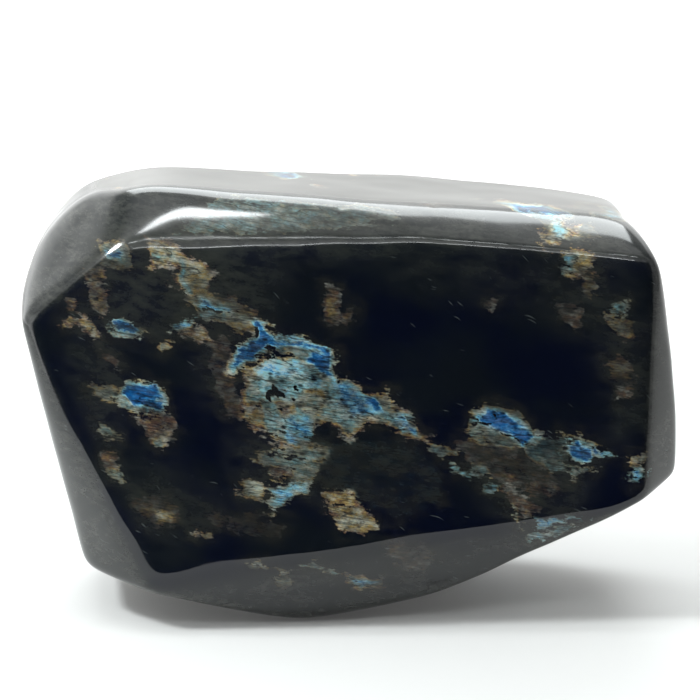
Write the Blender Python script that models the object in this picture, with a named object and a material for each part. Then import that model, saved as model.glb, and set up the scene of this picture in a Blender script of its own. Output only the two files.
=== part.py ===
"""Labradorite freeform: one polished piece of feldspar rock that stands up on a small sawn flat.

The stone is ground and polished by hand, which leaves broad, nearly flat faces with softly rounded
edges between them. Every face has a name and four driving dimensions below, and the body is the
rounded solid that they enclose. Lengths are given in millimetres and built in metres. +Z is up, the
show face looks along -Y, and the origin is on the ground under the middle of the stone.
"""
import bmesh
import bpy
import numpy as np

MM = 0.001

# Height of the stone's heart over the ground. Distances below are measured from the heart.
HEART_HEIGHT = 41.0

# name: (bearing in degrees, lean in degrees, distance in mm, softness in mm)
# Bearing 0 looks at the viewer and 90 to the viewer's right. Lean is how far the face looks up.
# A larger softness gives the face a wider rounded border.
FACES = {
    "front": (1, 5, 27.5, 0.6),
    "front_left": (-6, 5, 31.0, 1.2),
    "front_low": (6, -26, 37.0, 0.4),
    "bevel_left": (1, 43, 43.5, 0.6),
    "bevel_right": (11, 58, 47.0, 0.6),
    "corner": (-20, 49, 52.0, 0.5),
    "upper_left": (-49, 41, 61.5, 0.6),
    "top": (86, 86, 44.5, 0.4),
    "top_left": (-80, 72, 58.0, 0.8),
    "shoulder_left": (-86, 45, 69.5, 1.0),
    "flank_left": (-87, 19, 71.0, 1.0),
    "left": (-85, -12, 60.5, 1.2),
    "left_front": (-41, -12, 53.5, 0.8),
    "keel_left": (-60, -74, 45.0, 1.2),
    "keel_right": (60, -77, 40.5, 1.2),
    "right_low": (79, -62, 41.4, 0.9),
    "right": (100, 0, 61.5, 0.6),
    "right_front": (49, 2, 61.5, 0.6),
    "right_up": (96, 10, 63.0, 1.0),
    "right_shoulder": (87, 36, 69.5, 1.2),
    "top_right": (93, 74, 58.5, 1.2),
    "back_left_face": (-166, 7, 32.5, 0.8),
    "back_right_face": (166, 4, 32.5, 0.8),
    "back_low": (172, -32, 40.5, 1.2),
    "back_top": (190, 46, 48.0, 1.0),
    "back_shoulder": (138, 44, 62.0, 0.8),
    "back_keel": (-142, -46, 55.0, 1.0),
    "back_left": (-128, -4, 58.0, 1.5),
    "back_right": (134, 6, 58.0, 1.5),
    "ground": (0, -90, 42.0, 0.3),
}

# Mesh: rays sent out from the heart, and the share of triangles kept after flat areas are thinned.
RAY_LEVELS = 7
KEPT_SHARE = 0.085
FIRST_RADIUS = 150.0
NEWTON_STEPS = 60

# The saw takes the underside off level with the ground.
SAW_LENGTH = 200.0
SAW_HEIGHT = 20.0
SHARP_EDGE_DEGREES = 35

STONE_COLOUR = (0.022, 0.026, 0.032, 1.0)
STONE_ROUGHNESS = 0.08


def clear_scene():
    for old in list(bpy.data.objects):
        bpy.data.objects.remove(old, do_unlink=True)


def face_planes():
    """Outward normals, distances and softnesses of all the faces, as arrays."""
    table = np.array(list(FACES.values()), dtype=float)
    bearing, lean = np.radians(table[:, 0]), np.radians(table[:, 1])
    level = np.cos(lean)
    normals = np.stack([np.sin(bearing) * level, -np.cos(bearing) * level, np.sin(lean)], axis=1)
    return normals, table[:, 2], table[:, 3]


def distance_to_skin(rays):
    """Distance from the heart to the polished skin along each ray.

    A point is on the skin where exp((how far it is outside a face) / softness), added up over all
    the faces, comes to 1. Far from an edge that is the face itself, and at an edge it is a round.
    The logarithm of the sum grows steadily outwards, so Newton's steps inwards always meet it.
    """
    normals, distances, softness = face_planes()
    reach = np.full(len(rays), FIRST_RADIUS)
    slopes = rays @ normals.T
    for _ in range(NEWTON_STEPS):
        outside = (slopes * reach[:, None] - distances) / softness
        largest = outside.max(axis=1)
        weight = np.exp(outside - largest[:, None])
        total = weight.sum(axis=1)
        height = largest + np.log(total)
        slope = (weight * slopes / softness).sum(axis=1) / total
        reach -= height / slope
    return reach


def polished_body():
    """A closed mesh of the rounded body, before the saw cut, as a ball whose points are moved out."""
    ball = bmesh.new()
    bmesh.ops.create_icosphere(ball, subdivisions=RAY_LEVELS, radius=1.0)
    rays = np.array([point.co for point in ball.verts], dtype=float)
    rays /= np.linalg.norm(rays, axis=1)[:, None]
    points = rays * distance_to_skin(rays)[:, None]
    middle = (points.min(axis=0) + points.max(axis=0)) / 2
    points -= (middle[0], middle[1], -HEART_HEIGHT)
    for vertex, place in zip(ball.verts, points * MM):
        vertex.co = place
    mesh = bpy.data.meshes.new("stone")
    ball.to_mesh(mesh)
    ball.free()
    return mesh


def stone_material():
    material = bpy.data.materials.new("polished labradorite")
    material.use_nodes = True
    shader = material.node_tree.nodes["Principled BSDF"]
    shader.inputs["Base Color"].default_value = STONE_COLOUR
    shader.inputs["Roughness"].default_value = STONE_ROUGHNESS
    shader.inputs["Metallic"].default_value = 0.0
    return material


def saw_block():
    """The waste below the ground, which the sawn flat leaves behind."""
    mesh = bpy.data.meshes.new("saw_block")
    block = bmesh.new()
    bmesh.ops.create_cube(block, size=1.0)
    bmesh.ops.scale(block, vec=(SAW_LENGTH * MM, SAW_LENGTH * MM, SAW_HEIGHT * MM), verts=block.verts)
    bmesh.ops.translate(block, vec=(0, 0, -SAW_HEIGHT * MM / 2), verts=block.verts)
    block.to_mesh(mesh)
    block.free()
    cutter = bpy.data.objects.new("saw_block", mesh)
    cutter.hide_render = True
    cutter.display_type = "WIRE"
    bpy.context.collection.objects.link(cutter)
    return cutter


def make_stone():
    mesh = polished_body()
    mesh.materials.append(stone_material())
    mesh.shade_smooth()
    mesh.set_sharp_from_angle(angle=np.radians(SHARP_EDGE_DEGREES))
    stone = bpy.data.objects.new("stone", mesh)
    bpy.context.collection.objects.link(stone)
    thin = stone.modifiers.new("thin flat areas", "DECIMATE")
    thin.ratio = KEPT_SHARE
    saw = stone.modifiers.new("sawn foot", "BOOLEAN")
    saw.operation = "DIFFERENCE"
    saw.object = saw_block()
    return stone


clear_scene()
make_stone()
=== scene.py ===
import math

import bmesh
import bpy
import numpy as np
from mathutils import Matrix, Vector


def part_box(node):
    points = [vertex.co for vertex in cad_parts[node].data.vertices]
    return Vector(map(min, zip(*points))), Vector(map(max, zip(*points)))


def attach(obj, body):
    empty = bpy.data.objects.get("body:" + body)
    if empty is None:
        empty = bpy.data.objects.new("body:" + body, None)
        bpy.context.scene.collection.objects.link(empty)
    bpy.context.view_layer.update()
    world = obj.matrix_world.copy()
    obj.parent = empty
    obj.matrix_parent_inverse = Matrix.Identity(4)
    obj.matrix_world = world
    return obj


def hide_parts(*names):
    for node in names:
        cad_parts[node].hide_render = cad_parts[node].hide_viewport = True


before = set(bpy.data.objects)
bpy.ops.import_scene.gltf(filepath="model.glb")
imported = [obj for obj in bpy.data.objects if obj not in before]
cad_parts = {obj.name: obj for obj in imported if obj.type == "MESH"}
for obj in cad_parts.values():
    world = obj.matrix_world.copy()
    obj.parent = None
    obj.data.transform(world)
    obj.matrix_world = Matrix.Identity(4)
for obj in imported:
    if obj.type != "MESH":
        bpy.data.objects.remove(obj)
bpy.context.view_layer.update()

# The stone itself. One piece of labradorite feldspar, sawn roughly to shape, ground by hand on a
# wheel into broad faces with soft edges, and polished. It stands on the small sawn flat below.
MM = 0.001
HEART = np.array([0.69, -2.39, 41.0])

# Each ground face: bearing from the viewer's side, how far it looks up (both in degrees), distance
# from the heart and softness of its edges (both in mm).
FACES = {
    "front": (1, 5, 27.5, 0.6),
    "front_left": (-6, 5, 31.0, 1.2),
    "front_low": (6, -26, 37.0, 0.4),
    "bevel_left": (-2, 43, 43.3, 1.5),
    "bevel_right": (11, 58, 47.0, 1.1),
    "corner": (-20, 49, 52.0, 0.5),
    "upper_left": (-49, 41, 61.5, 0.6),
    "top": (86, 86, 44.5, 2.0),
    "top_left": (-80, 72, 58.0, 0.8),
    "shoulder_left": (-86, 45, 69.5, 1.0),
    "flank_left": (-87, 19, 71.0, 1.0),
    "left": (-85, -12, 60.5, 1.2),
    "left_front": (-41, -12, 54.2, 0.8),
    "keel_left": (-60, -74, 45.0, 1.2),
    "keel_right": (60, -77, 40.5, 1.2),
    "right_low": (79, -62, 41.4, 0.9),
    "right": (100, 0, 61.5, 0.6),
    "right_front": (49, 2, 61.5, 0.6),
    "right_up": (96, 10, 63.0, 1.0),
    "right_shoulder": (87, 36, 69.5, 1.2),
    "top_right": (93, 74, 58.5, 1.2),
    "back_left_face": (-166, 7, 32.5, 0.8),
    "back_right_face": (166, 4, 32.5, 0.8),
    "back_low": (172, -32, 40.5, 1.2),
    "back_top": (190, 46, 48.0, 1.0),
    "back_shoulder": (138, 44, 62.0, 0.8),
    "back_keel": (-142, -46, 55.0, 1.0),
    "back_left": (-128, -4, 58.0, 1.5),
    "back_right": (134, 6, 58.0, 1.5),
    "ground": (0, -90, 42.0, 0.3),
}

# Half the stone's length, depth and height in mm, for the grid that its points are drawn on, and
# the cells across each.
HALF_SIZE = np.array([66.0, 32.0, 44.0])
CELLS = (186, 80, 124)
FIRST_REACH = 150.0
NEWTON_STEPS = 40

# The polishing wheel's slow and quick waves: height, length, count and seed. The skin is worn back
# by a little more than they rise.
SLOW_WAVE = (0.11, 26, 14, 1)
QUICK_WAVE = (0.022, 9, 14, 2)
WORN_BACK = 0.15

# Knocks from handling and small pits left in the polish: a place near the skin, radius and depth,
# all in mm. Each one is moved to the skin along its ray from the heart.
CHIPS = (
    (-1, -20, 86, 0.7, 0.18),
    (18, -17, 85, 0.6, 0.12),
    (44, -16, 82, 0.7, 0.15),
    (17, -25, 9, 1.9, 0.55),
    (19, -25, 10, 1.3, 0.50),
    (-18, -22, 5, 1.4, 0.40),
    (28, -30, 39, 0.9, 0.25),
    (37, -30, 40, 1.0, 0.30),
    (-45, -28, 24, 0.9, 0.25),
    (-62, -6, 55, 1.2, 0.30),
    (-55, 14, 74, 1.5, 0.35),
    (61, -8, 70, 1.4, 0.40),
    (60, 12, 34, 1.6, 0.45),
    (48, 22, 72, 1.8, 0.50),
    (6, 26, 80, 1.3, 0.40),
    (-30, 28, 60, 1.0, 0.30),
    (22, 31, 38, 1.1, 0.30),
    (-46, 22, 20, 1.7, 0.50),
    (30, 18, 12, 1.6, 0.45),
    (-24, -10, 1, 1.6, 0.40),
    (9, 12, 1, 1.4, 0.40),
)


def ripples(points, wavelength, count, seed):
    """Smooth random ups and downs in space: a sum of `count` sine waves whose lengths are near
    `wavelength` (mm) and whose directions and phases are drawn at random, scaled to spread about 1."""
    draw = np.random.default_rng(seed)
    way = draw.normal(size=(count, 3))
    way /= np.linalg.norm(way, axis=1)[:, None]
    pace = 2 * np.pi / (wavelength * draw.uniform(0.7, 1.4, count))
    phase = draw.uniform(0, 2 * np.pi, count)
    return np.sin(points @ (way * pace[:, None]).T + phase).sum(axis=1) * math.sqrt(2 / count)


def face_planes():
    """Outward normals, distances and softnesses of all the faces, as arrays."""
    table = np.array(list(FACES.values()), dtype=float)
    bearing, lean = np.radians(table[:, 0]), np.radians(table[:, 1])
    level = np.cos(lean)
    normals = np.stack([np.sin(bearing) * level, -np.cos(bearing) * level, np.sin(lean)], axis=1)
    return normals, table[:, 2], table[:, 3]


def skin(rays):
    """Points of the polished skin, in mm from the heart, and the outward normals there, along rays.

    The skin is where exp((how far a point is outside a face) / softness), added up over all the
    faces, comes to 1. Newton's steps along each ray come in to it from outside."""
    normals, distances, softness = face_planes()
    slopes = rays @ normals.T
    reach = np.full(len(rays), FIRST_REACH)
    for _ in range(NEWTON_STEPS):
        outside = (slopes * reach[:, None] - distances) / softness
        largest = outside.max(axis=1)
        weight = np.exp(outside - largest[:, None])
        total = weight.sum(axis=1)
        reach -= (largest + np.log(total)) / ((weight * slopes / softness).sum(axis=1) / total)
    away = (weight / softness) @ normals
    away /= np.linalg.norm(away, axis=1)[:, None]
    return rays * reach[:, None], away


def box_rays(cells):
    """Rays from the heart through a grid on a box with the stone's proportions, sheet by sheet.

    On each of the six sheets the two parameters run from -1 to 1, and the third coordinate is held
    at -1 or 1. Returns unit rays and the corner numbers of the quads, turned to face outwards."""
    rays, quads, start = [], [], 0
    for axis in range(3):
        first, second = (axis + 1) % 3, (axis + 2) % 3
        u = np.linspace(-1, 1, cells[first] + 1)
        v = np.linspace(-1, 1, cells[second] + 1)
        grid_u, grid_v = np.meshgrid(u, v, indexing="ij")
        for side in (-1, 1):
            sheet = np.zeros(grid_u.shape + (3,))
            sheet[..., axis], sheet[..., first], sheet[..., second] = side, grid_u, grid_v
            number = start + np.arange(grid_u.size).reshape(grid_u.shape)
            ring = [number[:-1, :-1], number[1:, :-1], number[1:, 1:], number[:-1, 1:]]
            quads.append(np.stack(ring if side > 0 else ring[::-1], axis=-1).reshape(-1, 4))
            rays.append((sheet * HALF_SIZE).reshape(-1, 3))
            start += grid_u.size
    rays = np.concatenate(rays)
    return rays / np.linalg.norm(rays, axis=1)[:, None], np.concatenate(quads)


def chip_depth(points):
    """How far the skin is knocked in at each point: a shallow bowl with a ragged rim at each chip."""
    depth = np.zeros(len(points))
    ragged = np.exp(0.22 * ripples(points, 1.8, 9, 5))
    table = np.array(CHIPS, dtype=float)
    rays = table[:, :3] - HEART
    centres, _ = skin(rays / np.linalg.norm(rays, axis=1)[:, None])
    for centre, radius, deep in zip(centres, table[:, 3], table[:, 4]):
        span = np.linalg.norm(points - centre, axis=1) * ragged / radius
        depth = np.maximum(depth, deep * np.clip(1 - span ** 2, 0, 1))
    return depth


def stone_points():
    """The skin with its slight hand-ground waviness and its chips, cut level at the ground, in mm."""
    rays, quads = box_rays(CELLS)
    points, away = skin(rays)
    wave = SLOW_WAVE[0] * ripples(points, *SLOW_WAVE[1:]) + QUICK_WAVE[0] * ripples(points, *QUICK_WAVE[1:])
    points = points + away * (wave - WORN_BACK - chip_depth(points))[:, None]
    placed = points + HEART
    placed[:, 2] = np.maximum(placed[:, 2], 0.0)
    return placed, away, quads


# Flash. Thin lamellae in the feldspar throw back blue, teal, gold or copper light where they lie
# near the face. Each patch: hue at its rim, hue in its heart (0 copper, 0.3 gold, 0.6 teal, 1 deep
# blue), brightness, width of its rim in mm, then its outline over the show face (x, z in mm).
FLASH = (
    (0.56, 0.56, 0.016, 4.0,
     ((-6, 39), (2, 40), (10, 40), (18, 34), (18, 28), (10, 24), (4, 26), (0, 29), (-5, 31))),
    (0.10, 0.06, 0.16, 3.0,
     ((18, 38), (24, 40), (33, 37.5), (36, 34.5), (41, 31), (42, 29), (33, 29), (27, 32.5), (22, 36))),
    (0.10, 0.12, 0.14, 3.0, ((-28, 60.5), (-23, 60), (-23.5, 53), (-20, 44), (-24, 44), (-27, 52))),
    (0.20, 0.36, 0.34, 2.0,
     ((-29.5, 69.5), (-22.5, 67.5), (-17, 64), (-17, 61), (-21.5, 60), (-25, 62.5), (-29.5, 64.5),
      (-32, 67.5))),
    (0.12, 0.32, 0.62, 1.6,
     ((-40, 78.7), (-35, 79), (-32.5, 77), (-26.5, 73), (-25.5, 71), (-28.5, 68.5), (-31, 68),
      (-35, 69.5), (-34, 73), (-39, 73.5))),
    (0.50, 0.60, 0.70, 0.6, ((-33.8, 74.6), (-31.8, 74.4), (-30.5, 68), (-32.6, 68))),
    (0.40, 0.54, 0.70, 0.6, ((-39, 76.2), (-34.5, 76), (-34.2, 74.5), (-38.7, 74.9))),
    (0.16, 0.20, 0.85, 0.5, ((-39.5, 74.2), (-34.7, 73.7), (-34.6, 72.9), (-39.2, 73.2))),
    (0.28, 0.40, 0.28, 1.5, ((-49.5, 77.5), (-44, 78), (-41.5, 75.5), (-42.5, 73), (-48, 72.5))),
    (0.55, 0.86, 0.80, 0.6, ((-47.6, 76.6), (-44.6, 76.3), (-44.2, 74.9), (-47.2, 75))),
    (0.12, 0.24, 0.30, 1.4, ((-51.8, 73), (-48.2, 72.8), (-47.2, 67), (-47.8, 64.8), (-50.3, 65.7))),
    (0.15, 0.30, 0.50, 0.9,
     ((-56.5, 62.6), (-51.8, 64.2), (-48, 59), (-49.3, 58.8), (-52.6, 62), (-56, 60.6))),
    (0.10, 0.24, 0.55, 0.9, ((-55.4, 66.6), (-53, 66.8), (-52.7, 64.4), (-55, 64.2))),
    (0.12, 0.26, 0.60, 0.9, ((-49.8, 66.4), (-47.6, 66.2), (-47.4, 64), (-49.4, 64))),
    (0.05, 0.14, 0.30, 1.0, ((-49.5, 59), (-47.5, 57.5), (-44.3, 53), (-46.4, 53.4))),
    (0.55, 0.92, 0.90, 1.2,
     ((-47.4, 63.1), (-44.4, 63.5), (-42.2, 62.6), (-39.2, 61), (-42.4, 59.2), (-45.6, 59.8))),
    (0.30, 0.34, 0.60, 0.6, ((-41, 61.6), (-38.4, 61), (-39.2, 60.2), (-41.4, 60.4))),
    (0.55, 0.78, 0.80, 1.0, ((-35.4, 61), (-32.8, 63.6), (-30.2, 63.4), (-30.6, 61.4), (-33.5, 60.4))),
    (0.04, 0.22, 0.62, 0.9,
     ((-31, 62), (-28.5, 61.5), (-26.6, 60), (-26.8, 59), (-30, 59.2), (-34.4, 60), (-32, 60.9))),
    (0.30, 0.36, 0.50, 0.7, ((-37.3, 58.8), (-35.4, 59.4), (-34.6, 57.8), (-36.8, 56.8))),
    (0.60, 0.90, 0.85, 0.8, ((-30, 67), (-26.8, 67.2), (-23.4, 65.2), (-23.6, 64.2), (-28, 65.2))),
    (0.45, 0.60, 0.50, 1.2, ((-30.5, 66), (-27.5, 65.5), (-23.8, 64.4), (-24, 62.8), (-29.5, 63.6))),
    (0.30, 0.44, 0.45, 1.2,
     ((-51, 50.6), (-47.4, 50), (-45, 49.6), (-45, 47), (-47, 46.8), (-50.7, 48.2))),
    (0.06, 0.12, 0.52, 1.4,
     ((-42.6, 45), (-36.7, 45.4), (-34.3, 44), (-34, 41.8), (-34.6, 39), (-38, 38), (-39.2, 39.8),
      (-40.8, 41.6))),
    (0.15, 0.20, 0.90, 0.8, ((-38, 42.2), (-35.2, 41), (-35, 38.8), (-36.6, 38.6), (-37, 40.6))),
    (0.52, 0.60, 0.85, 0.5, ((-38.4, 40), (-37, 40.2), (-36.8, 38.4), (-38.6, 38.2))),
    (0.45, 0.98, 0.78, 1.5,
     ((-44.3, 51.6), (-40.6, 51.1), (-36.7, 50.4), (-36, 46.8), (-35.4, 45), (-38.7, 45), (-42.6, 45),
      (-45.8, 45.3), (-46.6, 47.4), (-44.8, 48.8))),
    (0.35, 0.50, 0.70, 0.8,
     ((-46.6, 47.6), (-43.5, 48.4), (-42.6, 46.6), (-40, 46), (-40.5, 45), (-45.8, 45.2))),
    (0.35, 0.46, 0.35, 0.8,
     ((-49.6, 42.6), (-47, 41.6), (-44.6, 40.4), (-44.8, 39.2), (-47, 39.9), (-49.8, 41))),
    (0.06, 0.16, 0.50, 1.2, ((-48.6, 37.2), (-46.4, 36.8), (-45.6, 33.5), (-47.4, 33), (-48.6, 35))),
    (0.40, 0.56, 0.50, 1.0, ((-47.6, 33.8), (-45.6, 34), (-44, 31.4), (-45.2, 30.8), (-46.8, 31.8))),
    (0.08, 0.14, 0.14, 2.0,
     ((-42.5, 28), (-37.5, 29.2), (-33.5, 26.5), (-33.8, 23.2), (-38, 22), (-41.8, 24))),
    (0.24, 0.33, 0.75, 0.8, ((-38.4, 24.8), (-36, 25.4), (-34.8, 23.8), (-37.2, 22.9))),
    (0.28, 0.42, 0.70, 0.6,
     ((-31.8, 22), (-30.4, 21.3), (-27.2, 21.9), (-26.4, 21.1), (-29, 20.5), (-31, 21))),
    (0.12, 0.10, 0.07, 2.5, ((-29, 24.5), (-20, 25), (-12, 23), (-14, 20), (-24, 21))),
    (0.14, 0.58, 0.62, 2.4,
     ((-17, 56), (-10.3, 55.8), (-7.4, 54), (-4.6, 52), (-0.6, 51.6), (2.9, 49.4), (7, 49.2), (7.8, 46.8),
      (11.2, 44.8), (13.1, 42), (16.2, 41), (15.9, 38.8), (12.9, 39.4), (9.4, 42), (3.7, 42.6),
      (-0.6, 39.4), (-3.4, 42), (-6.9, 42.4), (-7.5, 38.6), (-12.6, 38), (-17.9, 41.2), (-21, 44.6),
      (-21, 49.5), (-19.5, 54))),
    (0.52, 0.61, 0.85, 2.0,
     ((-18.8, 53.5), (-15.5, 56), (-8, 55.4), (-4, 52.4), (-4.5, 47), (-9, 46), (-13, 47.5),
      (-19.8, 46))),
    (0.10, 0.18, 0.60, 1.0, ((-20.6, 47), (-17.6, 47.6), (-16.4, 44), (-19, 42.8))),
    (0.26, 0.34, 0.60, 1.0, ((-9, 49.4), (-5.2, 49.6), (-4.6, 46), (-8.2, 45.4))),
    (0.12, 0.18, 0.45, 0.8, ((-14.2, 47.4), (-11.2, 47.6), (-10.4, 45), (-13.4, 44.6))),
    (0.64, 0.72, 1.40, 1.2, ((-19, 53.6), (-16, 55.8), (-11, 55), (-9, 52.4), (-14, 52.2))),
    (0.28, 0.34, 0.55, 1.5, ((-20.8, 44.6), (-17.5, 45), (-15.8, 41.8), (-17.6, 40.6), (-20, 43))),
    (0.08, 0.16, 0.60, 1.2, ((-19.6, 42.6), (-17.6, 42.6), (-14.5, 38.6), (-15, 36.8), (-17.6, 39.4))),
    (0.36, 0.46, 0.60, 1.6, ((-9.5, 48.6), (-5.6, 49.4), (-4.2, 46), (-6.2, 44), (-9.6, 45.4))),
    (0.68, 0.76, 0.65, 1.2, ((-11.4, 44.6), (-7.2, 43.6), (-7.2, 39.8), (-12, 39), (-12.6, 42.4))),
    (0.60, 0.80, 0.62, 1.0, ((-4, 52), (-0.5, 51.2), (3.5, 48), (6, 44.6), (1, 43.6), (-2.5, 47))),
    (0.76, 0.96, 1.00, 0.7, ((2.0, 48.8), (5.4, 48.2), (6.4, 45.6), (4.6, 45.2))),
    (0.38, 0.42, 0.60, 0.7, ((5.4, 49.2), (7.6, 49), (7.8, 46.6), (6.2, 46))),
    (0.70, 0.90, 0.80, 1.0, ((8, 44.2), (11.6, 44.4), (13, 41.4), (12.2, 40.4), (9.8, 42.2))),
    (0.45, 0.96, 1.00, 1.3,
     ((-19.4, 63.2), (-16.8, 63.6), (-14.8, 61), (-12.4, 59.4), (-9.6, 60.2), (-6.2, 59), (-3.2, 57.6),
      (-2.2, 55.6), (-3.4, 54), (-2, 51.2), (-5, 51.6), (-8, 54.4), (-10.5, 56), (-15, 57.4), (-17.5, 56),
      (-20.6, 54.4), (-24, 52.4), (-23.6, 56), (-20.8, 58.8), (-18.8, 60.4))),
    (0.72, 0.92, 1.00, 0.8,
     ((-14.5, 60.4), (-10.5, 59.8), (-6, 58.8), (-2.8, 56.8), (-6, 57), (-9.6, 58.4))),
    (0.45, 0.52, 0.42, 1.0, ((-14.6, 58.4), (-11, 57.8), (-6, 57.2), (-9, 55.8), (-14, 56.6))),
    (0.34, 0.48, 0.45, 1.6,
     ((-18.8, 37.6), (-12.6, 38.2), (-6.2, 38.7), (-4.4, 37.4), (-6, 33), (-8, 31.4), (-11.4, 31.8),
      (-15.6, 32.4), (-16, 34.6), (-18.3, 35.4))),
    (0.04, 0.12, 0.55, 1.0, ((-15.4, 34), (-11.4, 33.9), (-11.2, 32.6), (-15, 32.4))),
    (0.28, 0.42, 0.80, 0.8,
     ((-21.8, 30.8), (-19.6, 31.8), (-17, 31.4), (-16.8, 29.4), (-17.8, 27.6), (-20, 28), (-22, 28.9))),
    (0.42, 0.76, 0.70, 1.2,
     ((-16.4, 30.6), (-12.9, 30.9), (-8, 31.4), (-7.8, 29.9), (-10.8, 28), (-13.2, 26.4), (-16, 24.4),
      (-15.4, 27))),
    (0.24, 0.29, 0.85, 1.6,
     ((-5.2, 29.3), (1, 29.6), (2, 26.7), (4.6, 24.8), (5.2, 22.6), (2.3, 21), (-1.6, 21), (-3.2, 23.4),
      (-4.4, 26))),
    (0.02, 0.16, 0.34, 1.0,
     ((-4.8, 70.3), (-2.3, 70), (-1.8, 67.3), (-2.2, 63.8), (-3.2, 61.4), (-5, 62.8), (-4.4, 66.3))),
    (0.02, 0.12, 0.30, 0.8, ((-2.6, 63.8), (0.4, 65.9), (1.8, 65), (-1, 62))),
    (0.04, 0.14, 0.40, 0.7, ((26.3, 67.6), (28.4, 67.4), (28.2, 65.8), (26.4, 66))),
    (0.56, 0.62, 0.12, 1.5, ((36, 40.5), (41.6, 40), (42.2, 35.2), (38, 34.6), (34, 36.6))),
    (0.34, 0.46, 0.42, 0.7,
     ((22.4, 40.4), (23.4, 44.2), (26, 46.6), (29.4, 46.4), (33.4, 44.6), (37.6, 40.6), (35.2, 37.2),
      (32.3, 37.3), (28.7, 38.5), (25.4, 39.1))),
    (0.60, 1.00, 0.92, 1.1,
     ((23.6, 43.8), (25.4, 44.8), (26.3, 45.7), (28.7, 45.6), (31.1, 44.9), (32.3, 43.7), (34.1, 42.6),
      (35.9, 41.1), (36.8, 40.1), (36.2, 39.5), (35.3, 39), (34.7, 37.8), (33.2, 38.4), (31.7, 39.6),
      (29.9, 40.8), (28.1, 41.1), (26.1, 41.7), (24.3, 42.9))),
    (0.40, 0.44, 0.55, 0.5,
     ((40.9, 41.2), (45.6, 40.9), (46.6, 39), (50.8, 37.4), (50.6, 36.6), (46, 38), (44.6, 40.3),
      (41, 40.4))),
    (0.58, 0.98, 1.00, 0.8,
     ((41.6, 40.5), (44.9, 40.2), (45.8, 38.7), (48.5, 37.8), (50.2, 36.9), (48.5, 36.3), (47, 35.4),
      (44.3, 35.1), (42.5, 36), (41.9, 37.5), (43.7, 38.4), (43.4, 39.6))),
    (0.60, 0.96, 0.85, 0.6, ((46, 38.6), (50.6, 37.4), (52.6, 36.2), (48.5, 35.8))),
    (0.50, 0.58, 0.28, 1.0, ((35.3, 36.4), (41.5, 35.8), (42.4, 33.4), (38.8, 32.8), (35.6, 34.4))),
    (0.38, 0.46, 0.60, 0.6,
     ((33.5, 33.9), (35.3, 34.8), (37.7, 34.2), (38.9, 32.4), (37.4, 31.8), (36.2, 32.4), (35, 33.3))),
    (0.42, 0.54, 0.42, 0.8,
     ((43.1, 34.8), (46.4, 34.8), (49, 33.6), (45.4, 32.4), (43.7, 31.5), (42.8, 33))),
    (0.06, 0.12, 0.09, 2.0,
     ((22.8, 39), (30, 38.4), (36, 36), (41, 31.5), (44, 30), (36, 31), (31, 33), (24, 36))),
    (0.04, 0.10, 0.46, 1.4,
     ((29.9, 30.9), (31.7, 32.4), (32.9, 30), (34.7, 27.9), (37.7, 26.7), (37.1, 24.9), (34.7, 23.4),
      (32.3, 26.1), (30.3, 28.8))),
    (0.55, 0.70, 0.60, 0.8, ((25.7, 30.9), (27.2, 31.5), (29.3, 30.6), (29, 29.4), (26.9, 29.2))),
    (0.40, 0.56, 0.48, 0.6,
     ((30.5, 27.9), (31.7, 26.7), (33.5, 24), (34.7, 22.8), (33.2, 21.6), (32.3, 24.6))),
    (0.62, 0.82, 0.50, 0.9,
     ((36.5, 23.9), (40.1, 24.4), (43.5, 23.8), (47.5, 23.6), (44, 22.9), (40, 22.2), (36.3, 21.5))),
    (0.56, 0.68, 0.46, 0.9,
     ((34.8, 20.6), (36.4, 21), (40.5, 21.6), (44.6, 22.3), (41.9, 20.2), (38.3, 18.6), (35, 19.2))),
    (0.60, 0.92, 0.60, 0.8, ((54.4, 34.4), (57.6, 34.5), (58.8, 31.5), (55.3, 30.6))),
    (0.25, 0.34, 0.60, 0.6, ((54.2, 36.4), (58.2, 36.7), (58.8, 35.3), (54.8, 34.9))),
    (0.40, 0.52, 0.42, 0.8, ((15.4, 38.8), (19, 38.8), (21.2, 37), (18, 36), (15.6, 36.6))),
    (0.55, 0.76, 0.55, 0.5, ((19, 35), (22, 33.9), (24.8, 32.2), (23, 32.3), (20, 33.6))),
    (0.48, 0.56, 0.35, 0.8, ((24, 35.2), (27, 34.8), (28.2, 32.8), (25, 32.6))),
    # The next two pale teal patches along the top of the bevel, brightest at its upper edge and fading
    # downwards, are partly its streaky blue-grey flash and partly a painted reflection of the bright tent
    # roof.
    (0.50, 0.55, 0.20, 4.0,
     ((-26, 86), (-18, 86.4), (4, 86), (14, 85), (10, 82), (-8, 80.2), (-34, 79.4))),
    (0.51, 0.57, 0.27, 3.0, ((-26, 85.6), (-18, 85.8), (-6, 84.8), (-9, 82), (-20, 80.8), (-31, 80.6))),
    (0.36, 0.42, 0.14, 2.0, ((38, 81.6), (44, 82.2), (50, 81.6), (50, 79), (46, 77.6), (37, 78.6))),
    (0.24, 0.32, 1.00, 0.9, ((36.8, 79.8), (40.3, 79.8), (40.6, 77), (36.8, 77.2))),
    (0.52, 0.64, 1.30, 0.8, ((39.8, 82), (42.3, 81.8), (41.7, 78.4), (40.2, 78.3))),
    (0.10, 0.14, 0.95, 0.9, ((42, 81.8), (45.7, 81.4), (44.7, 78.4), (42, 78.8))),
    (0.22, 0.34, 0.62, 1.2, ((40.8, 77.2), (47.2, 76.7), (47.3, 73), (43, 71.2), (41.3, 73.5))),
    (0.52, 0.62, 0.45, 0.7, ((41.2, 75.6), (43.4, 75.4), (43.1, 72.2), (41, 72.4))),
    (0.20, 0.30, 0.38, 0.9, ((44.8, 72.7), (48, 72), (47.5, 66.8), (44.9, 68.8))),
    (0.02, 0.05, 0.34, 1.0, ((39.8, 65.8), (45.7, 67), (45.4, 63.8), (43.9, 61.2), (41.4, 63.4))),
    (0.50, 0.60, 0.42, 0.7, ((51.3, 66.8), (53.8, 67), (54, 64.2), (51, 63.6))),
    (0.26, 0.36, 0.26, 1.2,
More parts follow.
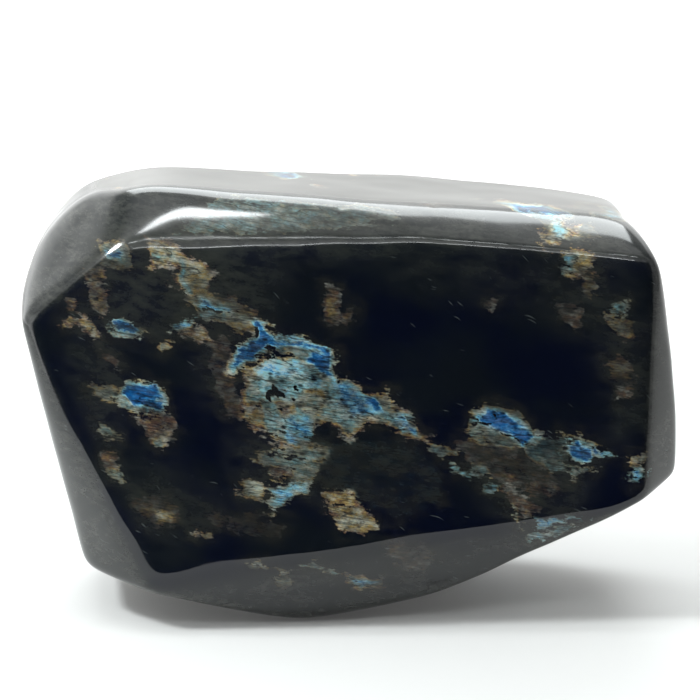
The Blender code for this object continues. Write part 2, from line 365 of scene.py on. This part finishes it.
     ((48.8, 64.7), (54, 63.2), (56.2, 60), (55.2, 58.3), (52, 60.3), (48.8, 62.8))),
    (0.22, 0.30, 0.45, 0.6, ((54, 61.4), (55.6, 61), (55.4, 58.6), (54, 59))),
    (0.02, 0.08, 0.46, 0.8, ((52.5, 50.1), (55, 50.4), (54.6, 47.4), (52.5, 47.6))),
    (0.15, 0.20, 0.16, 1.4, ((50, 55), (54, 55.5), (57, 51), (55, 49), (51, 52))),
    (0.42, 0.50, 0.40, 0.7, ((-10, 15.6), (-5, 14.8), (-2.1, 12.6), (-3, 11.8), (-7, 13.2), (-10, 14.4))),
    (0.18, 0.70, 0.38, 1.2, ((-1.8, 12.2), (1.5, 12), (6.2, 10.6), (6.2, 8.6), (2.5, 7.8), (-0.2, 9.8))),
    (0.06, 0.10, 0.14, 1.2, ((7, 19), (13, 19.5), (16.7, 16.6), (15.6, 12.6), (11, 12.2), (8.8, 15.2))),
    (0.36, 0.44, 0.24, 0.8, ((-14.6, 14.2), (-12.3, 13.5), (-11.5, 9.8), (-13.5, 9))),
    (0.42, 0.52, 0.34, 0.5, ((-21, 15.4), (-17, 15.2), (-16.4, 14.2), (-20.7, 14.4))),
)

# Clouded feldspar round the flash: strength, width of its soft border in mm, outline in the same mm.
HAZES = (
    (0.80, 7.0,
     ((-49, 79), (-34, 79.5), (-20, 78), (-13, 74), (-16, 66), (-24, 62), (-40, 60), (-50, 60))),
    (0.45, 7.0, ((8, 78.5), (30, 78), (52, 76), (57, 62), (48, 60), (36, 66), (20, 70), (10, 72))),
    (0.60, 3.0, ((-36, 79), (22, 79.5), (22, 75.5), (-30, 74))),
    (0.55, 6.0, ((46, 64), (60, 64), (60, 42), (52, 40), (50, 52))),
    (0.45, 6.0, ((-50, 36), (-34, 34), (-22, 26), (-34, 18), (-44, 22))),
    (0.60, 5.0, ((-56, 66), (-48, 66), (-44, 50), (-47, 32), (-52, 42))),
    (0.55, 4.0, ((-24, 40), (-4, 40), (-6, 28), (-22, 26))),
    (0.55, 4.0, ((22, 40), (50, 36), (44, 24), (32, 20), (26, 28))),
    (0.40, 5.0, ((-32, 64), (-20, 64), (-21, 44), (-30, 48))),
)

# Dark grains of ore and breaks in the lamellae that interrupt the flash: outlines in the same mm.
GAPS = (
    ((-15.9, 49.2), (-14.9, 50.5), (-14.1, 49.4), (-12.5, 49.9), (-13.1, 48.3), (-14.2, 48.5),
     (-14.8, 47.1), (-16.4, 47.7)),
    ((-10.8, 50.4), (-9.7, 50.3), (-9.8, 49.3), (-10.9, 49.4)),
    ((-11.3, 48.4), (-10.3, 48.2), (-10.8, 47.4)),
    ((-18.9, 61.8), (-17.6, 61.4), (-18.0, 59.8), (-19.2, 60.4)),
    ((-16.4, 59.0), (-15.0, 58.6), (-13.6, 56.8), (-14.2, 56.2), (-15.6, 57.6)),
    ((-6.6, 42.8), (-3.6, 43.0), (-3.4, 40.6), (-5.4, 40.0), (-6.8, 41.2)),
    ((-18.2, 41.5), (-13.0, 41.3), (-8.0, 40.9), (-8.0, 40.5), (-13.0, 40.8), (-18.2, 41.0)),
    ((-19.6, 47.6), (-17.6, 47.0), (-16.8, 45.6), (-18.6, 46.2)),
    ((-14.4, 46.4), (-11.8, 45.8), (-11.6, 45.2), (-14.2, 45.8)),
    ((-15.6, 37.0), (-9.0, 36.4), (-9.0, 36.0), (-15.6, 36.5)),
    ((-12.4, 34.8), (-10.6, 34.6), (-10.4, 33.8), (-12.2, 34.0)),
    ((-40.4, 68.0), (-33.0, 67.0), (-25.0, 65.2), (-18.0, 64.2), (-18.0, 63.8), (-25.0, 64.7),
     (-33.0, 66.5), (-40.4, 67.6)),
    ((-51.6, 64.4), (-50.2, 64.6), (-45.2, 58.9), (-46.2, 58.4)),
    ((-3.8, 27.0), (0.6, 26.4), (0.6, 26.0), (-3.8, 26.6)),
    ((-38.6, 71.6), (-37.4, 71.4), (-37.6, 70.4), (-38.8, 70.6)),
    ((24.4, 43.3), (27.4, 42.9), (27.4, 42.4), (24.4, 42.7)),
    ((27.8, 44.8), (29.2, 44.4), (28.9, 43.8), (27.7, 44.2)),
    ((29.6, 41.2), (33.4, 39.8), (33.2, 39.4), (29.4, 40.8)),
    ((36.3, 21.6), (40.6, 22.6), (45.2, 23.3), (45.2, 22.9), (40.8, 22.1), (36.3, 21.1)),
)


def patch_depth(x, z, outline):
    """Distance inside an outline, in mm, positive inside: the least distance to its sides, with a
    sign from how often a level line to the right crosses them."""
    corners = np.array(outline, dtype=float)
    nearest = np.full(x.shape, 1e9)
    inside = np.zeros(x.shape, dtype=bool)
    for (ax, az), (bx, bz) in zip(corners, np.roll(corners, -1, axis=0)):
        dx, dz = bx - ax, bz - az
        along = np.clip(((x - ax) * dx + (z - az) * dz) / (dx * dx + dz * dz), 0, 1)
        nearest = np.minimum(nearest, np.hypot(x - ax - along * dx, z - az - along * dz))
        if dz:
            inside ^= ((az > z) != (bz > z)) & (x < ax + (z - az) * dx / dz)
    return np.where(inside, nearest, -nearest)


def smooth_step(value, low, high):
    """0 below `low`, 1 above `high`, and an S between: 3t^2 - 2t^3 of the share t of the way."""
    share = np.clip((value - low) / (high - low), 0, 1)
    return share * share * (3 - 2 * share)


# Beyond this distance from its outline, in mm, a patch has no effect.
PATCH_REACH = 9


def show_face_flash(x, z, facing):
    """Depth inside the nearest patch, hue and brightness on the show face. Later patches lie over
    earlier ones, and a gap cuts the depth in proportion to the distance inside its outline."""
    depth = np.full(len(x), -9.0)
    hue = np.full(len(x), 0.3)
    power = np.full(len(x), 0.3)
    for rim_hue, heart_hue, bright, rim, outline in FLASH:
        corners = np.array(outline, dtype=float)
        low, high = corners.min(axis=0) - PATCH_REACH, corners.max(axis=0) + PATCH_REACH
        near = (x > low[0]) & (x < high[0]) & (z > low[1]) & (z < high[1]) & facing
        inner = patch_depth(x[near], z[near], outline)
        share = np.where(inner > depth[near], 1.0, smooth_step(inner, -0.5, 0.3))
        own_hue = rim_hue + (heart_hue - rim_hue) * smooth_step(inner, 0, rim)
        hue[near] += (own_hue - hue[near]) * share
        power[near] += (bright - power[near]) * share
        depth[near] = np.maximum(depth[near], inner)
    for outline in GAPS:
        depth = np.minimum(depth, 0.6 - 3.2 * (patch_depth(x, z, outline) + 0.16))
    return depth, hue, power


def drifting_flash(placed):
    """Depth, hue and brightness round the sides and the back, where the lamellae come up in drifts:
    the depth is a sum of slow and quick ripples, leaning down to one side, less a fixed level."""
    leaning = placed @ np.array([[0.80, 0.0, 0.45], [0.0, 1.0, 0.0], [-0.35, 0.0, 1.35]])
    swell = ripples(leaning, 38, 16, 21) + 0.7 * ripples(leaning, 13, 20, 22)
    depth = 2.2 * (swell + 0.4 * ripples(placed, 5, 24, 24) - 1.45)
    hue = np.clip(0.12 + 0.17 * depth + 0.24 * ripples(leaning, 22, 14, 23), 0, 1)
    power = np.clip(0.42 + 0.20 * ripples(leaning, 17, 14, 25), 0.08, 0.9)
    return depth, hue, power


def stone_fields(placed, away):
    """Depth inside the flash (mm), its hue, its brightness, the haze, the share of grey cover and
    the share of satin finish and painted sheen on the top, at each point, from its place and the way the
    skin faces there."""
    x = placed[:, 0] - HEART[0] + 0.35 * ripples(placed, 3.2, 10, 11)
    z = placed[:, 2] + 0.30 * ripples(placed, 3.2, 10, 12)
    front = smooth_step(-away[:, 1], 0.15, 0.5)
    show = show_face_flash(x, z, away[:, 1] < 0)
    depth, hue, power = (a * front + b * (1 - front) for a, b in zip(show, drifting_flash(placed)))
    haze = np.zeros(len(placed))
    for strength, border, outline in HAZES:
        haze = np.maximum(haze, strength * smooth_step(patch_depth(x, z, outline), -border, border) * front)
    cover = 1 - smooth_step(-away[:, 1], 0.84, 0.985) - 0.45 * smooth_step(away[:, 1], 0.3, 0.9)
    # Painted sheen: the faces turned up get a lighter grey base colour, standing in for the bright tent
    # roof that they mirror at a grazing angle. The same share also makes them a little rougher, a satin
    # finish.
    satin_and_sheen = smooth_step(away[:, 2] + 0.6 * np.minimum(away[:, 1], 0), 0.86, 0.93)
    return depth, hue, power, haze, cover, satin_and_sheen


FIELDS = ("flash_depth", "flash_hue", "flash_power", "haze", "cover", "satin_and_sheen")


def make_stone():
    """The stone's mesh with its fields, fitted to the box of the CAD stone."""
    placed, away, quads = stone_points()
    low, high = (np.array(corner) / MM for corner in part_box("stone"))
    own_low, own_high = placed.min(axis=0), placed.max(axis=0)
    placed = low + (placed - own_low) * (high - low) / (own_high - own_low)
    mesh = bpy.data.meshes.new("polished_stone")
    mesh.from_pydata(placed * MM, [], quads)
    for name, values in zip(FIELDS, stone_fields(placed, away)):
        mesh.attributes.new(name, "FLOAT", "POINT").data.foreach_set("value", values.astype(np.float32))
    joined = bmesh.new()
    joined.from_mesh(mesh)
    bmesh.ops.remove_doubles(joined, verts=joined.verts, dist=1e-6)
    joined.to_mesh(mesh)
    joined.free()
    mesh.shade_smooth()
    mesh.set_sharp_from_angle(angle=math.radians(30))
    stone = bpy.data.objects.new("polished_stone", mesh)
    bpy.context.collection.objects.link(stone)
    return stone


class Nodes:
    """Short way to lay out a node tree: every call adds a node, links or sets its inputs, and gives
    back its first output."""

    def __init__(self, tree):
        self.tree = tree

    def add(self, kind, inputs=None, **settings):
        node = self.tree.nodes.new(kind)
        for name, value in settings.items():
            setattr(node, name, value)
        for key, value in (inputs or {}).items():
            socket = node.inputs[key]
            if isinstance(value, bpy.types.NodeSocket):
                self.tree.links.new(value, socket)
            else:
                socket.default_value = value
        return node

    def math(self, operation, *values, clamp=False):
        node = self.add("ShaderNodeMath", dict(enumerate(values)), operation=operation, use_clamp=clamp)
        return node.outputs[0]

    def span(self, value, low, high, new_low=0.0, new_high=1.0, smooth=True):
        inputs = {"Value": value, "From Min": low, "From Max": high, "To Min": new_low, "To Max": new_high}
        kind = "SMOOTHSTEP" if smooth else "LINEAR"
        return self.add("ShaderNodeMapRange", inputs, interpolation_type=kind).outputs["Result"]

    def mix(self, factor, first, second, blend="MIX"):
        node = self.add("ShaderNodeMix", data_type="RGBA", blend_type=blend)
        for socket, value in ((node.inputs[0], factor), (node.inputs[6], first), (node.inputs[7], second)):
            if isinstance(value, bpy.types.NodeSocket):
                self.tree.links.new(value, socket)
            else:
                socket.default_value = value
        return node.outputs[2]

    def noise(self, vector, detail=3.0, roughness=0.55, seed=0.0):
        inputs = {"Vector": vector, "W": seed, "Scale": 1.0, "Detail": detail, "Roughness": roughness}
        return self.add("ShaderNodeTexNoise", inputs, noise_dimensions="4D").outputs["Fac"]

    def ramp(self, value, stops):
        node = self.add("ShaderNodeValToRGB", {"Fac": value})
        for _ in stops[2:]:
            node.color_ramp.elements.new(0.5)
        for element, (place, colour) in zip(node.color_ramp.elements, stops):
            element.position, element.color = place, colour + (1.0,)
        return node.outputs["Color"]


# Colours of the flash by hue, and of the feldspar: milky and rusty parts of the flash, the navy
# depths and the cloud in them, the grey rock with its pale grain, the feldspar close to the flash,
# the haze, the painted sheen of the top, flecks, and the painted glints of loose platelets.
FLASH_COLOURS = (
    (0.00, (0.110, 0.074, 0.055)),
    (0.12, (0.270, 0.150, 0.090)),
    (0.25, (0.480, 0.340, 0.105)),
    (0.36, (0.430, 0.420, 0.290)),
    (0.50, (0.210, 0.300, 0.260)),
    (0.64, (0.270, 0.540, 0.580)),
    (0.75, (0.230, 0.580, 0.790)),
    (0.86, (0.034, 0.220, 0.480)),
    (1.00, (0.007, 0.095, 0.290)),
)
MILK = (0.52, 0.56, 0.50, 1)
RUST = (0.075, 0.050, 0.028, 1)
NAVY = (0.0020, 0.0036, 0.0120, 1)
CLOUD = (0.0048, 0.0072, 0.0110, 1)
ROCK = (0.0085, 0.0110, 0.0120, 1)
ROCK_GRAIN = (0.061, 0.063, 0.056, 1)
NEAR_FLASH = (0.026, 0.026, 0.020, 1)
HAZE = (0.041, 0.045, 0.038, 1)
PAINTED_TOP_SHEEN = (0.090, 0.087, 0.080, 1)
FLECK = (0.030, 0.036, 0.038, 1)
PLATELET_GLINT = (0.070, 0.082, 0.082, 1)

# Slope of the streaks and of the platelets' painted glints down to the right, in degrees, and the
# glints' and the ore grains' cells in mm.
STREAK_SLOPE = 9
GLINT_SLOPE = 24
GLINT_CELL = (3.4, 2.4, 0.50)
ORE_CELL = (2.1, 2.1, 1.25)
FLASH_SHARE = 0.88
REFRACTIVE_INDEX = 1.56


def stone_material():
    """Dark glassy feldspar with the flash fields under the polish.

    Streaks run along the cleavage, slightly down to the right. They push the flash's edge in and
    out, tint its hue and darken it in lines, and small black grains of ore lie in it."""
    material = bpy.data.materials.new("polished_labradorite")
    material.use_nodes = True
    tree = material.node_tree
    shader = tree.nodes["Principled BSDF"]
    n = Nodes(tree)
    place = n.add("ShaderNodeTexCoord").outputs["Object"]

    def sloped(way, slope, size):
        turn = (0.0, math.radians(slope), 0.0)
        inputs = {"Vector": way, "Rotation": turn, "Scale": [mm * MM for mm in size]}
        return n.add("ShaderNodeMapping", inputs, vector_type="TEXTURE").outputs[0]

    def grain(size_along, size_across, **settings):
        return n.noise(sloped(place, STREAK_SLOPE, (size_along, size_along, size_across)), **settings)

    def field(name):
        return n.add("ShaderNodeAttribute", attribute_name=name).outputs["Fac"]

    def swing(value, by, base):
        return n.math("MULTIPLY_ADD", n.math("SUBTRACT", value, 0.5), by, base)

    def product(*values):
        total = values[0]
        for value in values[1:]:
            total = n.math("MULTIPLY", total, value)
        return total

    def less(share):
        return n.math("SUBTRACT", 1.0, share)

    streak = grain(3.4, 1.0, detail=5.0, roughness=0.60, seed=1.0)
    broad = grain(9.0, 3.2, detail=4.0, seed=2.0)
    fine = grain(0.75, 0.38, detail=3.0, roughness=0.60, seed=3.0)
    tint = grain(3.0, 1.5, detail=5.0, roughness=0.65, seed=4.0)
    push = swing(streak, 4.6, product(n.math("SUBTRACT", fine, 0.5), 2.4))
    depth = swing(broad, 2.0, n.math("ADD", field("flash_depth"), push))
    shown = n.span(depth, -0.10, 0.30)
    hue = swing(fine, 0.45, swing(tint, 0.85, field("flash_hue")))
    hue = n.math("ADD", n.span(depth, 0.0, 0.9, -0.12, 0.0), hue, clamp=True)
    flash = n.ramp(hue, FLASH_COLOURS)
    milk = n.span(grain(2.2, 1.2, detail=5.0, roughness=0.65, seed=10.0), 0.42, 0.66, 0.0, 0.72)
    flash = n.mix(product(milk, n.span(hue, 0.70, 0.90, 1.0, 0.15)), flash, MILK)
    rust = n.span(grain(2.6, 1.3, detail=5.0, roughness=0.65, seed=11.0), 0.58, 0.70, 0.0, 0.75)
    flash = n.mix(product(rust, n.span(field("flash_hue"), 0.6, 0.9, 1.0, 0.25)), flash, RUST)

    light = grain(2.0, 0.9, detail=6.0, roughness=0.70, seed=5.0)
    light = n.span(light, 0.33, 0.70, 0.05, 1.80, smooth=False)
    threads = n.span(grain(6.0, 0.36, detail=2.0, seed=12.0), 0.38, 0.50, 0.45, 1.0)
    swell = n.span(grain(7.5, 4.5, detail=3.0, seed=15.0), 0.34, 0.62, 0.45, 1.25)
    cells = n.add("ShaderNodeTexVoronoi", {"Vector": sloped(place, STREAK_SLOPE, ORE_CELL), "Scale": 1.0})
    pick = n.add("ShaderNodeSeparateColor", {"Color": cells.outputs["Color"]}).outputs[0]
    ore = product(n.span(cells.outputs["Distance"], 0.12, 0.42, 1.0, 0.0), n.math("LESS_THAN", pick, 0.24))
    crack = n.math("SUBTRACT", grain(14.0, 2.4, detail=3.0, roughness=0.45, seed=6.0), 0.5)
    crack = n.span(n.math("ABSOLUTE", crack), 0.002, 0.012, 1.0, 0.0)
    power = product(field("flash_power"), light, product(threads, swell), FLASH_SHARE)
    power = product(power, less(product(ore, 0.92)), less(product(crack, 0.80)))
    power = n.math("MULTIPLY", power, shown, clamp=True)

    cloud = n.span(grain(22.0, 14.0, detail=4.0, seed=7.0), 0.42, 0.62)
    ground = n.mix(cloud, NAVY, CLOUD)
    rock = n.span(grain(17.0, 8.0, detail=3.0, seed=14.0), 0.30, 0.66, 0.25, 1.0)
    rock_grain = n.span(grain(2.6, 1.0, detail=6.0, roughness=0.72, seed=16.0), 0.34, 0.72)
    ground = n.mix(field("cover"), ground, n.mix(product(rock, rock_grain), ROCK, ROCK_GRAIN))
    near = n.span(depth, -3.0, 0.0, 0.0, 0.50)
    clouded = n.span(grain(5.0, 2.6, detail=6.0, roughness=0.65, seed=8.0), 0.36, 0.62)
    ground = n.mix(product(near, clouded), ground, NEAR_FLASH)
    mottle = n.span(grain(5.5, 2.4, detail=7.0, roughness=0.70, seed=17.0), 0.34, 0.68, 0.10, 1.0)
    ground = n.mix(product(field("haze"), mottle), ground, HAZE)
    # Painted sheen on the top: the ground colour is lightened towards pale grey where the skin faces up.
    ground = n.mix(field("satin_and_sheen"), ground, PAINTED_TOP_SHEEN)
    flecks = n.span(grain(1.5, 0.6, detail=4.0, roughness=0.7, seed=13.0), 0.60, 0.76, 0.0, 0.55)
    ground = n.mix(flecks, ground, FLECK)

    # Painted glints: sparse short pale dashes on the dark ground where the platelets would catch the light.
    # The platelets are in the stone; their brightness is painted reflection.
    astray = n.add("ShaderNodeTexNoise", {"Vector": place, "Scale": 140.0, "Detail": 1.0}).outputs["Color"]
    astray = n.add("ShaderNodeVectorMath", {0: astray, 1: [5 * MM] * 3}, operation="MULTIPLY").outputs[0]
    astray = n.add("ShaderNodeVectorMath", {0: place, 1: astray}, operation="ADD").outputs[0]
    platelet_glints = sloped(astray, GLINT_SLOPE, GLINT_CELL)
    platelet_glints = n.add("ShaderNodeTexVoronoi", {"Vector": platelet_glints, "Scale": 1.0, "Randomness": 1.0})
    chosen = n.add("ShaderNodeSeparateColor", {"Color": platelet_glints.outputs["Color"]}).outputs[1]
    glint = n.span(platelet_glints.outputs["Distance"], 0.05, 0.28, 1.0, 0.0)
    ground = n.mix(product(glint, n.math("LESS_THAN", chosen, 0.04)), ground, PLATELET_GLINT)
    tree.links.new(n.mix(power, ground, flash), shader.inputs["Base Color"])

    smear = n.span(grain(30.0, 3.0, detail=3.0, seed=9.0), 0.35, 0.75, 0.035, 0.10)
    polish = n.math("MULTIPLY_ADD", field("cover"), 0.07, smear)
    polish = n.math("MULTIPLY_ADD", field("satin_and_sheen"), 0.20, polish)
    tree.links.new(polish, shader.inputs["Roughness"])
    shader.inputs["IOR"].default_value = REFRACTIVE_INDEX
    return material


stone = make_stone()
stone.data.materials.append(stone_material())
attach(stone, "root")
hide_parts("stone")


# Floor. A plain white sheet that bends down over the table's edge a hand's breadth in front of
# the stone: the stone's lower front mirrors the bright sheet, and its show face mirrors the dark room
# beyond. The sheet has a painted glow, faint near the stone and rising towards the back.
FLOOR_BACK = 0.75
FLOOR_HALF_WIDTH = 0.75
FLOOR_FRONT = -0.085
BEND_RADIUS = 0.050
BEND_STEPS = 16
FLOOR_DROP = 0.30
FLOOR_GLOW = 0.05
FLOOR_BACK_GLOW = 0.7
FLOOR_WHITE = (0.76, 0.76, 0.75, 1)


def make_floor():
    """A sheet drawn along its side profile: level from the back, a quarter round, then straight down."""
    turn = np.linspace(0, math.pi / 2, BEND_STEPS + 1)
    side = [(FLOOR_BACK, 0.0)]
    side += list(zip(FLOOR_FRONT - BEND_RADIUS * np.sin(turn), BEND_RADIUS * (np.cos(turn) - 1)))
    side.append((FLOOR_FRONT - BEND_RADIUS, -FLOOR_DROP))
    corners = [(x, y, z) for y, z in side for x in (-FLOOR_HALF_WIDTH, FLOOR_HALF_WIDTH)]
    quads = [(2 * i, 2 * i + 2, 2 * i + 3, 2 * i + 1) for i in range(len(side) - 1)]
    mesh = bpy.data.meshes.new("floor")
    mesh.from_pydata(corners, [], quads)
    mesh.shade_smooth()
    floor = bpy.data.objects.new("floor", mesh)
    bpy.context.collection.objects.link(floor)
    material = bpy.data.materials.new("white_sheet")
    material.use_nodes = True
    shader = material.node_tree.nodes["Principled BSDF"]
    shader.inputs["Base Color"].default_value = FLOOR_WHITE
    shader.inputs["Roughness"].default_value = 0.7
    shader.inputs["Specular IOR Level"].default_value = 0.1
    shader.inputs["Emission Color"].default_value = (1, 1, 1, 1)
    n = Nodes(material.node_tree)
    place = n.add("ShaderNodeTexCoord").outputs["Object"]
    y = n.add("ShaderNodeSeparateXYZ", {"Vector": place}).outputs[1]
    # Painted glow: the sheet emits light, weakly near the stone and more strongly towards the back, so its
    # far part shows as white as the backdrop.
    glow = n.span(y, 0.12, 0.40, FLOOR_GLOW, FLOOR_BACK_GLOW)
    material.node_tree.links.new(glow, shader.inputs["Emission Strength"])
    mesh.materials.append(material)
    return floor


make_floor()


# Light tent. White cloth all round and overhead, brightest at the left and the back, and open and
# dark towards the viewer. Rows of lamps run along its roof (place towards the back, width, radiance
# and number of lamps each), and soft lamps hang high at the left and over the stone.
TENT_WHITE = 1.10
TENT_BACK = 1.05
TENT_LEFT = 1.10
TENT_RIGHT = 0.45
FOLDS = (2.6, 2.6, 3.4)
SKY_SEEN = 1.2
TENT_COLOUR = (0.985, 1.0, 0.995, 1)
ROOM_DARK = 0.012
ROOF = 0.30
LAMP_ROWS = ((-0.30, 0.006, 20.0, 1), (-0.15, 0.006, 20.0, 9), (0.168, 0.130, 6.0, 1))
ROW_LENGTH = 0.30
LAMP_SHARE = 0.72
LAMP_COLOUR = (0.94, 0.99, 1.0)
SIDE_LAMP = (-0.30, -0.17, 0.42)
SIDE_LAMP_SIZE = 0.09
SIDE_LAMP_RADIANCE = 85.0
ROOF_LAMP = (-0.070, -0.040, 0.30)
ROOF_LAMP_WIDTH = 0.026
ROOF_LAMP_DEPTH = 0.105
ROOF_LAMP_RADIANCE = 22.0


def make_world():
    """The tent as seen from the stone: its brightness from the three parts of the way looked along."""
    world = bpy.data.worlds.new("light_tent")
    world.use_nodes = True
    bpy.context.scene.world = world
    tree = world.node_tree
    background = tree.nodes["Background"]
    n = Nodes(tree)
    way = n.add("ShaderNodeSeparateXYZ", {"Vector": n.add("ShaderNodeTexCoord").outputs["Generated"]})
    x, y, z = way.outputs

    def product(first, second):
        return n.math("MULTIPLY", first, second)

    def without(value, share):
        return product(value, n.math("SUBTRACT", 1.0, share))

    level = n.math("SQRT", n.math("ADD", n.math("ADD", product(x, x), product(y, y)), 1e-4))
    ahead = n.span(n.math("DIVIDE", product(y, -1.0), level), 0.50, 0.64)
    dark = product(ahead, n.span(z, 0.56, 0.66, 1.0, 0.0))
    back = n.span(y, 0.2, 0.9, TENT_WHITE, TENT_WHITE + TENT_BACK)
    left = product(n.span(x, -0.9, -0.2, TENT_LEFT, 0.0), n.span(z, 0.25, 0.55, 1.0, 0.0))
    tent = n.math("ADD", back, left)
    folds = n.add("ShaderNodeTexCoord").outputs["Generated"]
    folds = n.add("ShaderNodeMapping", {"Vector": folds, "Scale": FOLDS}).outputs[0]
    tent = product(tent, n.span(n.noise(folds, detail=1.0), 0.34, 0.62, 0.62, 1.18))
    tent = product(tent, n.span(x, 0.2, 0.8, 1.0, TENT_RIGHT))
    gap = product(n.span(z, 0.55, 0.66), n.span(z, 0.84, 0.90, 1.0, 0.0))
    tent = without(tent, product(product(gap, n.span(y, -0.10, 0.12)), 0.68))
    awning = product(n.span(y, -0.36, -0.08, 0.65, 0.0), n.span(z, 0.70, 0.86))
    tent = without(without(tent, awning), dark)
    tent = n.math("ADD", tent, ROOM_DARK)
    seen = n.add("ShaderNodeLightPath").outputs["Is Camera Ray"]
    strength = n.math("MAXIMUM", tent, n.math("MULTIPLY", seen, SKY_SEEN))
    background.inputs["Color"].default_value = TENT_COLOUR
    tree.links.new(strength, background.inputs["Strength"])


def add_lamp(name, place, width, depth, radiance, shape="RECTANGLE"):
    """A flat lamp at a place in metres, facing the stone."""
    light = bpy.data.lights.new(name, "AREA")
    light.shape = shape
    light.size, light.size_y = width, depth
    area = width * depth * (math.pi / 4 if shape == "ELLIPSE" else 1)
    light.energy = radiance * math.pi * area
    light.color = LAMP_COLOUR
    lamp = bpy.data.objects.new(name, light)
    lamp.location = place
    lamp.rotation_euler = Vector(place).to_track_quat("Z", "Y").to_euler()
    bpy.context.collection.objects.link(lamp)


def make_lamps():
    """The rows of roof lamps, each row cut into equal lamps with gaps between, and the two soft lamps."""
    for row, (y, width, radiance, count) in enumerate(LAMP_ROWS):
        pitch = ROW_LENGTH / count
        for i in range(count):
            place = (-ROW_LENGTH / 2 + (i + 0.5) * pitch, y, ROOF)
            length = pitch * (LAMP_SHARE if count > 1 else 1.0)
            add_lamp(f"lamp_{row}_{i}", place, length, width, radiance)
    add_lamp("side_lamp", SIDE_LAMP, SIDE_LAMP_SIZE, SIDE_LAMP_SIZE, SIDE_LAMP_RADIANCE, "ELLIPSE")
    add_lamp("roof_lamp", ROOF_LAMP, ROOF_LAMP_WIDTH, ROOF_LAMP_DEPTH, ROOF_LAMP_RADIANCE, "ELLIPSE")


make_world()
make_lamps()


# Camera, in front of the stone and a little above it, with a long lens. It looks at a point a
# little over the stone's heart.
CAMERA_LIFT = 12.5
CAMERA_DISTANCE = 0.460
AIM = (0.69 * MM, -2.39 * MM, 51.6 * MM)
LENS = 114.45


def make_camera():
    data = bpy.data.cameras.new("camera")
    data.lens = LENS
    data.sensor_width = 36.0
    data.clip_start = 0.01
    camera = bpy.data.objects.new("camera", data)
    lift = math.radians(CAMERA_LIFT)
    out, up = CAMERA_DISTANCE * math.cos(lift), CAMERA_DISTANCE * math.sin(lift)
    camera.location = (AIM[0], AIM[1] - out, AIM[2] + up)
    camera.rotation_euler = (math.pi / 2 - lift, 0, 0)
    bpy.context.collection.objects.link(camera)
    bpy.context.scene.camera = camera


make_camera()
bpy.context.scene.view_settings.view_transform = "Standard"
